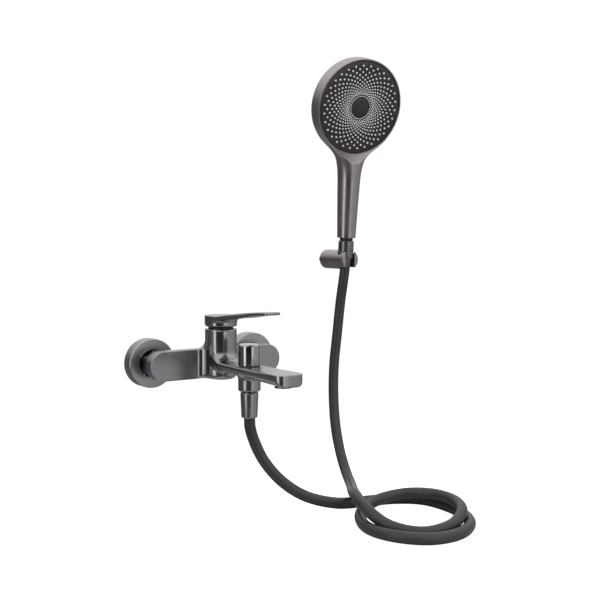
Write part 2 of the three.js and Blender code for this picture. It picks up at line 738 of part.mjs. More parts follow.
// ---- hose ----------------------------------------------------------------------------------
// From the nut under the spout down to the floor, twice round in a loose inward spiral whose
// second turn climbs onto the first, over itself at the left and up into the bracket.
const ROUTE = [
  [0, -134.5, -57.8],
  [0.8, -134.8, -72],
  [5.2, -137, -89],
  [13.4, -144.5, -111.5],
  [30.4, -158, -137],
  [57, -173, -157.5],
  [91, -193, -167],
  [129, -203, -168],
  [164, -215, -167],
  [189, -241, -166],
  [197, -280, -167],
  [189, -320, -168],
  [166, -352, -168],
  [130, -371, -168],
  [93, -367, -168],
  [66, -343, -167],
  [58, -306, -167],
  [71, -270, -167],
  [96, -241, -165],
  [130, -229, -160],
  [164, -240, -155],
  [185, -267, -153],
  [188, -302, -154],
  [170, -334, -157],
  [138, -351, -164],
  [101, -344, -168],
  [74, -318, -162],
  [67, -284, -149],
  [79, -248, -143],
  [101, -214, -149],
  [125, -180, -157],
  [148, -146, -161],
  [164.5, -113, -154],
  [175.2, -85, -134],
  [183.4, -62, -102],
  [190.2, -47, -61],
  [196.6, -39, -18],
  [203.2, -37, 26],
  [207.8, -38, 70],
  [209.9, -42.5, 103],
  [211.3, -44.3, 121.8],
];
const HOSE_STEPS = 60;
const HOSE_SIDES = 8;

function hoseSolid() {
  const path = new THREE.CatmullRomCurve3(ROUTE.map((point) => new THREE.Vector3(...point)));
  const outline = [];
  for (let i = 0; i < HOSE_SIDES; i += 1) {
    const angle = (2 * Math.PI * i) / HOSE_SIDES;
    outline.push([HOSE_RADIUS * Math.cos(angle), HOSE_RADIUS * Math.sin(angle)]);
  }
  const options = { steps: HOSE_STEPS, extrudePath: path };
  return solid(new THREE.ExtrudeGeometry(polygon(outline), options));
}
add("hose", hoseSolid(), "vinyl");

export default group;
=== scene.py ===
"""The look of a wall mounted bath mixer with a hand shower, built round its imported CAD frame."""
import json
import math

import bmesh
import bpy
import numpy as np
from mathutils import Matrix, Vector


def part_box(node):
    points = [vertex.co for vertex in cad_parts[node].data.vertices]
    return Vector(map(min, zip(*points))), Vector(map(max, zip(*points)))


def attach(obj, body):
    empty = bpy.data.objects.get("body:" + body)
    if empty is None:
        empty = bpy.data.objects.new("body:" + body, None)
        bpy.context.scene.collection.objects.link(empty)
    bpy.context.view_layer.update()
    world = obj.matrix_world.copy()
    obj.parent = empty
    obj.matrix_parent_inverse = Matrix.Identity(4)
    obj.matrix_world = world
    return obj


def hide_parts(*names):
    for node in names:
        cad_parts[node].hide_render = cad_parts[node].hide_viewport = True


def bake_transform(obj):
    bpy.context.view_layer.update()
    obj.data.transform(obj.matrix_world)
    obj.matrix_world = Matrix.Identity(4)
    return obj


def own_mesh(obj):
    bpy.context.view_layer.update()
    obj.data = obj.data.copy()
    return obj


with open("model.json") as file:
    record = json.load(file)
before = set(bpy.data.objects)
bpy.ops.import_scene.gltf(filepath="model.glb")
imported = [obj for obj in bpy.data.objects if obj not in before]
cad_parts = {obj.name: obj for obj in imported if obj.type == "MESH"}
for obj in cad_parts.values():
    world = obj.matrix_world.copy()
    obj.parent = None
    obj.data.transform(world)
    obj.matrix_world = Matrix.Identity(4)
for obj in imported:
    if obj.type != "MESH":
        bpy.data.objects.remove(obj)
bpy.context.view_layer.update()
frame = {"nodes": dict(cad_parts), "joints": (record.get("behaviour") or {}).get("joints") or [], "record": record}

MM = 0.001
joints = {joint["name"]: joint for joint in frame["joints"]}


# ---- places taken from the CAD frame, in millimetres ----------------------------------------
def low(node):
    return np.array(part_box(node)[0]) / MM


def high(node):
    return np.array(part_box(node)[1]) / MM


def middle(node):
    return (low(node) + high(node)) / 2


INLET_X = middle("right_union_nut")[0]
COLUMN_Y = middle("neck_ring")[1]
COLUMN_TOP = low("neck_ring")[2] + 0.2
DIVERTER_Y = middle("diverter_knob")[1]
AERATOR_Y = middle("aerator_housing")[1]
SPOUT_TIP_Y = low("faucet_body")[1]
BOSS_BOTTOM = low("faucet_body")[2]
HANDLE_BOTTOM = low("handle")[2]
LEVER_TIP_Y = low("handle")[1]
BRACKET = middle("wall_bracket")
BRACKET_FRONT = low("wall_bracket")[1]

SEAT = np.array(joints["shower_turn"]["pos_m"]) / MM
SEAT_LEAN = math.atan2(-joints["shower_turn"]["axis"][1], joints["shower_turn"]["axis"][2])
HAND_SPIN = math.radians(-4)
FACE_TILT = math.radians(13.9)
FACE_AT = (0, -23.6, 210)

on_seat = Matrix.Translation(SEAT) @ Matrix.Rotation(SEAT_LEAN, 4, "X")
on_hand = on_seat @ Matrix.Rotation(HAND_SPIN, 4, "Z")
on_face = on_hand @ Matrix.Translation(FACE_AT) @ Matrix.Rotation(FACE_TILT - math.pi / 2, 4, "X")
along_y = Matrix.Rotation(-math.pi / 2, 4, "X")


def at(x, y, z):
    return Matrix.Translation((x, y, z))


# ---- camera ---------------------------------------------------------------------------------
VIEW_TURN = math.radians(33.7)
VIEW_PITCH = math.radians(3.905)
VIEW_ROLL = math.radians(0.15)


def make_camera():
    data = bpy.data.cameras.new("camera")
    data.lens = 61.0
    data.sensor_width = 36
    data.clip_start = 0.05
    camera = bpy.data.objects.new("camera", data)
    bpy.context.scene.collection.objects.link(camera)
    ahead = Vector((
        math.sin(VIEW_TURN) * math.cos(VIEW_PITCH),
        math.cos(VIEW_TURN) * math.cos(VIEW_PITCH),
        -math.sin(VIEW_PITCH),
    ))
    camera.rotation_mode = "QUATERNION"
    level = ahead.to_track_quat("-Z", "Y")
    camera.rotation_quaternion = level @ Matrix.Rotation(VIEW_ROLL, 3, "Z").to_quaternion()
    camera.location = (-0.638, -1.203, 0.171)
    bpy.context.scene.camera = camera


make_camera()


# ---- mesh helpers ---------------------------------------------------------------------------
def new_object(name, mesh):
    piece = bpy.data.objects.new(name, mesh)
    bpy.context.scene.collection.objects.link(piece)
    return piece


def make_piece(name, points, faces, place=Matrix.Identity(4), sharp=35):
    """A mesh piece from points in millimetres, shaded smooth except at its sharp edges."""
    mesh = bpy.data.meshes.new(name)
    mesh.from_pydata([tuple(p) for p in np.asarray(points)], [], [tuple(f) for f in faces])
    mesh.transform(Matrix.Scale(MM, 4) @ place)
    shape = bmesh.new()
    shape.from_mesh(mesh)
    bmesh.ops.recalc_face_normals(shape, faces=shape.faces)
    shape.to_mesh(mesh)
    shape.free()
    mesh.shade_smooth()
    mesh.set_sharp_from_angle(angle=math.radians(sharp))
    return new_object(name, mesh)


def rounded(corners, closed, steps=5):
    """A profile of (radius, height, rounding) corners as points, with an arc at each corner."""
    points = []
    count = len(corners)
    for i, (r, h, rounding) in enumerate(corners):
        here = np.array([r, h], float)
        if rounding == 0 or (not closed and i in (0, count - 1)):
            points.append(here)
            continue
        before = np.array(corners[i - 1][:2], float) - here
        after = np.array(corners[(i + 1) % count][:2], float) - here
        reach = min(np.linalg.norm(before), np.linalg.norm(after)) * 0.49
        before /= np.linalg.norm(before)
        after /= np.linalg.norm(after)
        half = math.acos(np.clip(before @ after, -1, 1)) / 2
        leg = min(rounding / math.tan(half), reach)
        radius = leg * math.tan(half)
        inward = (before + after) / np.linalg.norm(before + after)
        centre = here + inward * radius / math.sin(half)
        start = here + before * leg - centre
        end = here + after * leg - centre
        first = math.atan2(start[1], start[0])
        sweep = (math.atan2(end[1], end[0]) - first + math.pi) % (2 * math.pi) - math.pi
        for k in range(steps + 1):
            angle = first + sweep * k / steps
            points.append(centre + radius * np.array([math.cos(angle), math.sin(angle)]))
    return points


def turned(name, corners, place=Matrix.Identity(4), segments=96, steps=5):
    """A turned piece. A profile that starts and ends on the axis is solid, any other is a ring."""
    solid = corners[0][0] == 0 and corners[-1][0] == 0
    profile = rounded(corners, not solid, steps)
    points = []
    rows = []
    for r, h in profile:
        if r < 1e-6:
            rows.append([len(points)] * segments)
            points.append((0, 0, h))
            continue
        rows.append(list(range(len(points), len(points) + segments)))
        for k in range(segments):
            angle = 2 * math.pi * k / segments
            points.append((r * math.cos(angle), r * math.sin(angle), h))
    faces = []
    pairs = list(zip(rows, rows[1:]))
    if not solid:
        pairs.append((rows[-1], rows[0]))
    for one, two in pairs:
        for k in range(segments):
            n = (k + 1) % segments
            face = list(dict.fromkeys([one[k], one[n], two[n], two[k]]))
            if len(face) > 2:
                faces.append(face)
    return make_piece(name, points, faces, place)


# ---- distance fields, in millimetres --------------------------------------------------------
def round_max(a, b, r):
    """Both a and b, with their outer edge rounded to r."""
    return np.minimum(np.maximum(a, b), -r) + np.hypot(np.maximum(a + r, 0), np.maximum(b + r, 0))


def round_min(a, b, r):
    """Either a or b, with the inside corner between them filled to r."""
    return np.maximum(np.minimum(a, b), r) - np.hypot(np.maximum(r - a, 0), np.maximum(r - b, 0))


def soft_min(a, b, k):
    h = np.maximum(k - np.abs(a - b), 0) / k
    return np.minimum(a, b) - h * h * k / 4


def smoothstep(value, start, end):
    t = np.clip((value - start) / (end - start), 0, 1)
    return t * t * (3 - 2 * t)


def rod(r, radius, along, start, end):
    """A rod: r is the distance from its axis and along the place on it."""
    return np.maximum(r - radius, np.abs(along - (start + end) / 2) - abs(end - start) / 2)


def slopes(field, points, eps=0.02):
    found = np.empty_like(points)
    for axis in range(3):
        step = np.zeros(3)
        step[axis] = eps
        found[:, axis] = field(*(points + step).T) - field(*(points - step).T)
    return found / (2 * eps)


def surface(name, field, lowest, highest, step, place=Matrix.Identity(4)):
    """The zero surface of a distance field as a quad mesh, with normals from the field."""
    axes = [np.arange(a - 1.5 * step, b + 2.5 * step, step) for a, b in zip(lowest, highest)]
    value = field(*np.meshgrid(*axes, indexing="ij", sparse=True)).astype(np.float32)
    inside = value < 0
    corners = [(i, j, k) for i in (0, 1) for j in (0, 1) for k in (0, 1)]
    sizes = [n - 1 for n in value.shape]
    held = np.zeros(sizes, np.int8)
    for i, j, k in corners:
        held += inside[i:i + sizes[0], j:j + sizes[1], k:k + sizes[2]]
    active = (held > 0) & (held < 8)
    cells = np.argwhere(active)
    number = np.full(sizes, -1, np.int32)
    number[active] = np.arange(len(cells))

    total = np.zeros((len(cells), 3))
    hits = np.zeros(len(cells))
    faces = []
    for axis in range(3):
        unit = np.eye(3, dtype=int)[axis]
        side, other = [np.eye(3, dtype=int)[(axis + n) % 3] for n in (1, 2)]
        for offset in (0 * side, side, other, side + other):
            one = cells + offset
            two = one + unit
            a = value[tuple(one.T)]
            b = value[tuple(two.T)]
            crossed = (a < 0) != (b < 0)
            share = np.where(crossed, a / np.where(crossed, a - b, 1), 0)
            total += (one + share[:, None] * unit) * crossed[:, None]
            hits += crossed
        before = inside[tuple(slice(None, -1) if n == axis else slice(None) for n in range(3))]
        after = inside[tuple(slice(1, None) if n == axis else slice(None) for n in range(3))]
        edges = np.argwhere(before != after)
        around = [edges - side - other, edges - other, edges, edges - side]
        quads = np.stack([number[tuple(cell.T)] for cell in around], 1)
        flip = before[tuple(edges.T)]
        quads[~flip] = quads[~flip][:, ::-1]
        faces.append(quads)
    faces = np.concatenate(faces)
    points = np.array([a[0] for a in axes]) + total / hits[:, None] * step

    def settle(rounds):
        for _ in range(rounds):
            slope = slopes(field, points)
            size = np.maximum((slope ** 2).sum(1), 0.05)
            move = field(*points.T)[:, None] * slope / size[:, None]
            points[:] -= np.clip(move, -step / 2, step / 2)

    settle(2)
    for _ in range(2):
        mean = np.zeros_like(points)
        for k in range(4):
            for neighbour in (1, 3):
                np.add.at(mean, faces[:, k], points[faces[:, (k + neighbour) % 4]])
        uses = np.bincount(faces.ravel(), minlength=len(points)) * 2
        points += (mean / uses[:, None] - points) * 0.4
        settle(1)
    settle(2)
    normals = slopes(field, points)
    normals /= np.linalg.norm(normals, axis=1)[:, None]

    mesh = bpy.data.meshes.new(name)
    mesh.from_pydata(points.tolist(), [], faces.tolist())
    mesh.transform(Matrix.Scale(MM, 4) @ place)
    mesh.shade_smooth()
    turn = np.array(place.to_3x3())
    mesh.normals_split_custom_set_from_vertices((normals @ turn.T).tolist())
    return new_object(name, mesh)


# ---- materials ------------------------------------------------------------------------------
def blank(name):
    material = bpy.data.materials.new(name)
    material.use_nodes = True
    return material, material.node_tree, material.node_tree.nodes["Principled BSDF"]


def grain(tree, scale, stretch=(1, 1, 1), detail=3):
    """Noise in the object's own metres, stretched along its axes; returns the noise node."""
    place = tree.nodes.new("ShaderNodeTexCoord")
    mapping = tree.nodes.new("ShaderNodeMapping")
    mapping.inputs["Scale"].default_value = stretch
    noise = tree.nodes.new("ShaderNodeTexNoise")
    noise.inputs["Scale"].default_value = scale
    noise.inputs["Detail"].default_value = detail
    noise.inputs["Roughness"].default_value = 0.6
    tree.links.new(place.outputs["Object"], mapping.inputs["Vector"])
    tree.links.new(mapping.outputs["Vector"], noise.inputs["Vector"])
    return noise


def spread(tree, source, low_value, high_value, start=0.3, end=0.7):
    """Maps a noise's middle to a range of values."""
    ranged = tree.nodes.new("ShaderNodeMapRange")
    ranged.inputs["From Min"].default_value = start
    ranged.inputs["From Max"].default_value = end
    ranged.inputs["To Min"].default_value = low_value
    ranged.inputs["To Max"].default_value = high_value
    tree.links.new(source, ranged.inputs["Value"])
    return ranged.outputs["Result"]


def tint(tree, source, dark, light):
    ramp = tree.nodes.new("ShaderNodeValToRGB")
    ramp.color_ramp.elements[0].position = 0.3
    ramp.color_ramp.elements[0].color = (*dark, 1)
    ramp.color_ramp.elements[1].position = 0.7
    ramp.color_ramp.elements[1].color = (*light, 1)
    tree.links.new(source, ramp.inputs["Fac"])
    return ramp.outputs["Color"]


def bump(tree, source, strength, distance):
    node = tree.nodes.new("ShaderNodeBump")
    node.inputs["Strength"].default_value = strength
    node.inputs["Distance"].default_value = distance
    tree.links.new(source, node.inputs["Height"])
    return node.outputs["Normal"]


def metal(name, color, roughness, brush, depth=0.15, spots=0.05):
    """Plated metal: a brushed grain, slow colour drift and a roughness that wanders with both."""
    material, tree, shader = blank(name)
    fine = grain(tree, 900, brush, 4)
    slow = grain(tree, 35, (1, 1, 1), 2)
    mixed = tree.nodes.new("ShaderNodeMath")
    mixed.operation = "MULTIPLY_ADD"
    mixed.inputs[1].default_value = 0.6
    tree.links.new(fine.outputs["Fac"], mixed.inputs[0])
    share = spread(tree, slow.outputs["Fac"], 0.0, 0.4)
    tree.links.new(share, mixed.inputs[2])
    light = [min(1, c * (1 + spots)) for c in color]
    dark = [c * (1 - spots) for c in color]
    tree.links.new(tint(tree, mixed.outputs[0], dark, light), shader.inputs["Base Color"])
    rough = spread(tree, mixed.outputs[0], roughness * 0.85, roughness * 1.2)
    tree.links.new(rough, shader.inputs["Roughness"])
    tree.links.new(bump(tree, fine.outputs["Fac"], depth, 0.00004), shader.inputs["Normal"])
    shader.inputs["Metallic"].default_value = 1.0
    return material


def moulded(name, dark, light, roughness, scale=700, depth=0.25):
    """Moulded plastic or rubber with a fine skin and faint mottling."""
    material, tree, shader = blank(name)
    fine = grain(tree, scale, (1, 1, 1), 3)
    slow = grain(tree, 60, (1, 1, 1), 3)
    tree.links.new(tint(tree, slow.outputs["Fac"], dark, light), shader.inputs["Base Color"])
    rough = spread(tree, fine.outputs["Fac"], roughness * 0.85, roughness * 1.15)
    tree.links.new(rough, shader.inputs["Roughness"])
    tree.links.new(bump(tree, fine.outputs["Fac"], depth, 0.00006), shader.inputs["Normal"])
    shader.inputs["Specular IOR Level"].default_value = 0.5
    return material


BRUSHED_UPRIGHT = (3.2, 3.2, 0.12)
TURNED_Y = (1, 6, 1)
finishes = {
    "gunmetal": metal("gunmetal", (0.37, 0.354, 0.37), 0.22, BRUSHED_UPRIGHT, 0.03, 0.02),
    "rose": metal("rose", (0.45, 0.428, 0.42), 0.3, TURNED_Y),
    "satin": metal("satin", (0.42, 0.38, 0.37), 0.3, BRUSHED_UPRIGHT, 0.05, 0.03),
    "polished": metal("polished", (0.42, 0.405, 0.405), 0.12, BRUSHED_UPRIGHT, 0.05),
    "dark_steel": metal("dark_steel", (0.23, 0.23, 0.245), 0.3, TURNED_Y, 0.05),
    "brass": metal("brass", (0.62, 0.42, 0.16), 0.25, TURNED_Y),
    "steel": metal("steel", (0.55, 0.55, 0.56), 0.25, TURNED_Y),
    "white_plastic": moulded("white_plastic", (0.7, 0.69, 0.66), (0.78, 0.77, 0.74), 0.45),
    "black_plastic": moulded("black_plastic", (0.012, 0.012, 0.013), (0.02, 0.02, 0.021), 0.4),
    "rubber": moulded("rubber", (0.012, 0.012, 0.012), (0.025, 0.024, 0.024), 0.7),
    "ceramic": moulded("ceramic", (0.8, 0.77, 0.72), (0.86, 0.84, 0.8), 0.12, 400, 0.05),
    "charcoal": moulded("charcoal", (0.034, 0.029, 0.032), (0.044, 0.039, 0.042), 0.32, 900, 0.1),
    "silicone": moulded("silicone", (0.9, 0.9, 0.9), (0.97, 0.97, 0.97), 0.5, 900, 0.1),
    "vinyl": moulded("vinyl", (0.03, 0.028, 0.029), (0.038, 0.036, 0.037), 0.4, 500, 0.2),
}


def dress(piece, slot, body, *nodes):
    """Gives a piece its finish, the body it rides on and the CAD nodes it stands for."""
    piece.data.materials.clear()
    piece.data.materials.append(finishes[slot])
    if body:
        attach(piece, body)
    if nodes:
        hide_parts(*nodes)
    return piece


# ---- hose -----------------------------------------------------------------------------------
HOSE_DIAMETER = 0.014
ROUTE = [
    (0, -0.1345, -0.0578), (0.0008, -0.1348, -0.072), (0.0052, -0.137, -0.089),
    (0.0134, -0.1445, -0.1115), (0.0304, -0.158, -0.137), (0.057, -0.173, -0.1575),
    (0.091, -0.193, -0.167), (0.129, -0.203, -0.168), (0.164, -0.215, -0.167),
    (0.189, -0.241, -0.166), (0.197, -0.28, -0.167), (0.189, -0.32, -0.168),
    (0.166, -0.352, -0.168), (0.13, -0.371, -0.168), (0.093, -0.367, -0.168),
    (0.066, -0.343, -0.167), (0.058, -0.306, -0.167), (0.071, -0.27, -0.167),
    (0.096, -0.241, -0.165), (0.13, -0.229, -0.16), (0.164, -0.24, -0.155),
    (0.185, -0.267, -0.153), (0.188, -0.302, -0.154), (0.17, -0.334, -0.157),
    (0.138, -0.351, -0.164), (0.101, -0.344, -0.168), (0.074, -0.318, -0.162),
    (0.067, -0.284, -0.149), (0.079, -0.248, -0.143), (0.101, -0.214, -0.149),
    (0.125, -0.18, -0.157), (0.148, -0.146, -0.161), (0.1645, -0.113, -0.154),
    (0.1752, -0.085, -0.134), (0.1834, -0.062, -0.102), (0.1902, -0.047, -0.061),
    (0.1966, -0.039, -0.018), (0.2032, -0.037, 0.026), (0.2078, -0.038, 0.07),
    (0.2099, -0.0425, 0.103), (0.2113, -0.0443, 0.1218),
]


def centripetal(points, per_span):
    """A centripetal Catmull-Rom curve through the points."""
    points = np.array(points, float)
    points = np.vstack([2 * points[0] - points[1], points, 2 * points[-1] - points[-2]])
    curve = []
    for i in range(1, len(points) - 2):
        p = points[i - 1:i + 3]
        knots = np.cumsum([0, *np.sqrt(np.linalg.norm(np.diff(p, axis=0), axis=1))])
        last = i == len(points) - 3
        for t in np.linspace(knots[1], knots[2], per_span, endpoint=False).tolist() + (
            [knots[2]] if last else []
        ):
            a = [
                p[n] + (p[n + 1] - p[n]) * (t - knots[n]) / (knots[n + 1] - knots[n])
                for n in range(3)
            ]
            b = [
                a[n] + (a[n + 1] - a[n]) * (t - knots[n]) / (knots[n + 2] - knots[n])
                for n in range(2)
            ]
            curve.append(b[0] + (b[1] - b[0]) * (t - knots[1]) / (knots[2] - knots[1]))
    return np.array(curve)


def tube(name, line, radius, sides=28):
    """A round tube along a line, its rings turned with the line so that it doesn't twist."""
    along = np.gradient(line, axis=0)
    along /= np.linalg.norm(along, axis=1)[:, None]
    side = np.cross(along[0], (0, 1, 0))
    side /= np.linalg.norm(side)
    points = []
    for here, ahead in zip(line, along):
        side = side - ahead * (side @ ahead)
        side /= np.linalg.norm(side)
        up = np.cross(ahead, side)
        for k in range(sides):
            angle = 2 * math.pi * k / sides
            points.append(here + radius * (math.cos(angle) * side + math.sin(angle) * up))
    faces = [list(range(sides)), list(range(len(points) - sides, len(points)))]
    for i in range(len(line) - 1):
        for k in range(sides):
            n = (k + 1) % sides
            one, two = i * sides, (i + 1) * sides
            faces.append([one + k, one + n, two + n, two + k])
    return make_piece(name, np.array(points) / MM, faces, sharp=60)


def make_hose():
    line = centripetal(ROUTE, 9)
    hose = tube("shower_hose", line, HOSE_DIAMETER / 2)
    dress(hose, "vinyl", None, "hose")
    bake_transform(hose)


make_hose()


# ---- wall unions ----------------------------------------------------------------------------
def make_unions():
    for side, x in (("left", -INLET_X), ("right", INLET_X)):
        node = f"{side}_escutcheon"
        cup = [
            (30.4, 0, 0.2), (31.8, 0, 0.3), (31.8, -16.9, 0.25), (30.7, -18, 0.25),
            (18.2, -18, 0.4), (17.6, -17.4, 0.2), (17.6, -16.6, 0.1), (30.4, -16.6, 0.5),
        ]
        escutcheon = turned(f"{node}_look", cup, at(x, 0, 0) @ along_y, 160)
        dress(escutcheon, "rose", "base", node)

        back, front = high(f"{side}_union_nut")[1], low(f"{side}_union_nut")[1]

        def nut(px, py, pz, x=x, back=back, front=front):
            px = px - x
            sides = np.maximum(np.abs(pz) * 0.866 + np.abs(px) * 0.5, np.abs(px)) - 15
            sides = round_max(sides, sides, 0.3)
            r = np.hypot(px, pz)
            ends = np.maximum(py - back, front - py)
            shape = round_max(sides, ends, 0.5)
            bevel = np.maximum(
                (r - 15.4) * 0.5 + (py - back) * 0.866, (r - 15.4) * 0.5 + (front - py) * 0.866
            )
            return np.maximum(np.maximum(shape, bevel), 9.7 - r)

        piece = surface(
            f"{side}_union_nut_look", nut, (x - 18, front, -18), (x + 18, back, 18), 0.6
        )
        dress(piece, "dark_steel", "base", f"{side}_union_nut")


make_unions()


# ---- body -----------------------------------------------------------------------------------
COLUMN_RADIUS = 20.5
ARM_HALF = 19.15
ARM_END_X = high("faucet_body")[0] - ARM_HALF
ARM_BACK = -40.0
ARM_FRONT = -54.3
SPOUT_HALF = 19.6
NOSE_RADIUS = 42.0


def body_field(x, y, z):
    off_column = np.hypot(x, y - COLUMN_Y)
    column = off_column - COLUMN_RADIUS

    past_end = np.maximum(np.abs(x) - ARM_END_X, 0)
    above = np.hypot(past_end, np.maximum(z, 0)) - ARM_HALF
    below = np.hypot(past_end, np.maximum(-z, 0)) - ARM_HALF
    arms = round_max(ARM_FRONT - y, above, 1.2)
    fused = round_min(column, arms, 11.5)
    fused = round_max(fused, y - ARM_BACK, 1.2)
    foot = 1.2 + 5.3 * (1 - smoothstep(off_column, 20, 34))
    fused = round_max(fused, below, foot)
    fused = round_max(fused, z - COLUMN_TOP, 0.8)

    share = (-60 - y) / (-60 - SPOUT_TIP_Y)
    roof = round_min(column, z - 4.8, 15)
    under = round_min(round_max(column, -ARM_HALF - z, 6.5), -6.1 - 4.1 * share - z, 6)
    side = np.abs(x) - SPOUT_HALF
    tip = np.hypot(x, y - SPOUT_TIP_Y - NOSE_RADIUS) - NOSE_RADIUS
    tip = np.where(y > SPOUT_TIP_Y + NOSE_RADIUS, -NOSE_RADIUS, tip)
    top_edge = 1.0 + 3.5 * smoothstep(y, SPOUT_TIP_Y + 10, SPOUT_TIP_Y + 60)
    spout = round_max(roof, round_max(side, tip, 8), top_edge)
    spout = -soft_min(-spout, -round_max(side, under, 12), 1.5)
    spout = np.maximum(spout, round_max(tip, under, 2.4))
    spout = np.maximum(spout, y - COLUMN_Y)
    spout = np.maximum(spout, z - COLUMN_TOP + 2)
    whole = soft_min(fused, spout, 1.2)

    off_boss = np.hypot(x, y - DIVERTER_Y)
    bevel = 0.526 * (off_boss - 9.8) - 0.85 * (z - BOSS_BOTTOM)
    boss = round_max(round_max(off_boss - 14, bevel, 0.8), BOSS_BOTTOM - z, 0.5)
    boss = np.maximum(boss, z + 5)
    whole = round_min(whole, boss, 4.5)

    off_aerator = np.hypot(x, y - AERATOR_Y)
    past_inlet = np.hypot(np.abs(x) - INLET_X, z)
    hollows = (
        rod(off_column, 14.7, z, 8, 60),
        rod(off_column, 17, z, 36, 60),
        rod(off_boss, 8.5, z, 0.5, 12),
        rod(off_boss, 6.3, z, -18.6, 12),
        rod(off_boss, 4.2, z, -40, -18),
        rod(off_boss, 9.9, z, -40, -22),
        rod(off_aerator, 9.6, z, -20, -4.2),
        rod(np.hypot(x, z + 3.2), 3.6, y, AERATOR_Y, COLUMN_Y - 5),
        rod(np.hypot(x, y - COLUMN_Y + 7), 3.6, z, -3.2, 9),
        rod(past_inlet, 9.7, y, -46.3, -30),
    )
    for hollow in hollows:
        whole = np.maximum(whole, -hollow)
    return whole


def make_body():
    body = surface("mixer_body", body_field, low("faucet_body"), high("faucet_body"), 0.8)
    dress(body, "gunmetal", "base", "faucet_body")
    profile = [
        (12.4, 44.8, 0.1), (16.1, 44.8, 0.1), (16.1, 48, 0.4), (12.4, 48, 0.1),
    ]
    ring = turned("neck_ring_look", profile, at(0, COLUMN_Y, 0))
    dress(ring, "black_plastic", "base", "neck_ring")


make_body()


# ---- lever handle ---------------------------------------------------------------------------
def handle_field(x, y, z):
    reach = COLUMN_Y - LEVER_TIP_Y
    y = y - COLUMN_Y
    r = np.hypot(x, y)
    ahead = -y - 17.9
    climb = np.clip(ahead, 0, 110)
    rise = 0.155 * climb - 0.00072 * np.maximum(climb - 25, 0) ** 2
    swell = np.exp(-((climb - 50) / 28) ** 2)
    top = z - 62.5 - rise
    bottom = 57.9 + rise + 0.01 * climb - 2.2 * swell - z
    plan = round_max(np.abs(x) - 19.4 - 0.0656 * y, -reach - y, 5)
    under = round_min(r - 20.9, bottom, 5)
    lever = np.maximum(round_max(round_max(plan, top, 1.1 + 2.4 * swell), under, 1.4), y)
    base = round_max(r - 20.9, top, 0.9)
    whole = soft_min(base, lever, 0.8)
    floor = np.maximum(HANDLE_BOTTOM - z, (HANDLE_BOTTOM + 0.31 * (y - 3) - z) * 0.955)
    whole = round_max(whole, floor, 2)
    shaft = rod(r, 7, z, 52, 60)
    hollow = np.maximum(rod(r, 17.4, z, 40, 57.2), -shaft)
    whole = np.maximum(whole, -hollow)
    whole = np.maximum(whole, -rod(r, 4.5, z, 40, 58.8))
    off_screw = np.hypot(x, z - 58.2)
    whole = np.maximum(whole, -rod(off_screw, 2.2, y, 3, 30))
    return np.maximum(whole, -rod(off_screw, 3.2, y, 18.5, 30))


def make_handle():
    handle = surface("lever_handle", handle_field, low("handle"), high("handle"), 0.7)
    dress(handle, "gunmetal", "lever", "handle")
    plug = [(0, 18.8, 0), (2.9, 18.8, 0.1), (2.9, 20.65, 0.3), (1.6, 20.65, 0.2), (0, 20.35, 0)]
    piece = turned("index_plug_look", plug, at(0, COLUMN_Y, 58.2) @ along_y, 48)
    dress(piece, "polished", "lever", "index_plug")


make_handle()


# ---- diverter, aerator and lower hose end ---------------------------------------------------
def make_spring():
    """The diverter's return spring, which closes up against the bonnet as the knob is pulled."""
    bottom, top = low("diverter_spring"), high("diverter_spring")
    x, y, _ = middle("diverter_spring")
    wire = 0.45
    turns = 4
    steps = 24 * turns
    sides = 8
    coil = (top[0] - bottom[0]) / 2 - wire
    climb = (top[2] - bottom[2] - 2 * wire) / steps
    points = []
    for step in range(steps + 1):
        turn = 2 * math.pi * turns * step / steps
        z = bottom[2] + wire + climb * step
        for side in range(sides):
            around = 2 * math.pi * side / sides
            reach = coil + wire * math.cos(around)
            height = z + wire * math.sin(around)
            points.append((x + reach * math.cos(turn), y + reach * math.sin(turn), height))
    faces = [range(sides), range(steps * sides, (steps + 1) * sides)]
    for step in range(steps):
        for k in range(sides):
            n = (k + 1) % sides
            one, two = step * sides, (step + 1) * sides
            faces.append((one + k, one + n, two + n, two + k))
    spring = make_piece("return_spring", points, faces, sharp=60)
    dress(spring, "steel", "base", "diverter_spring")
    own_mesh(spring)


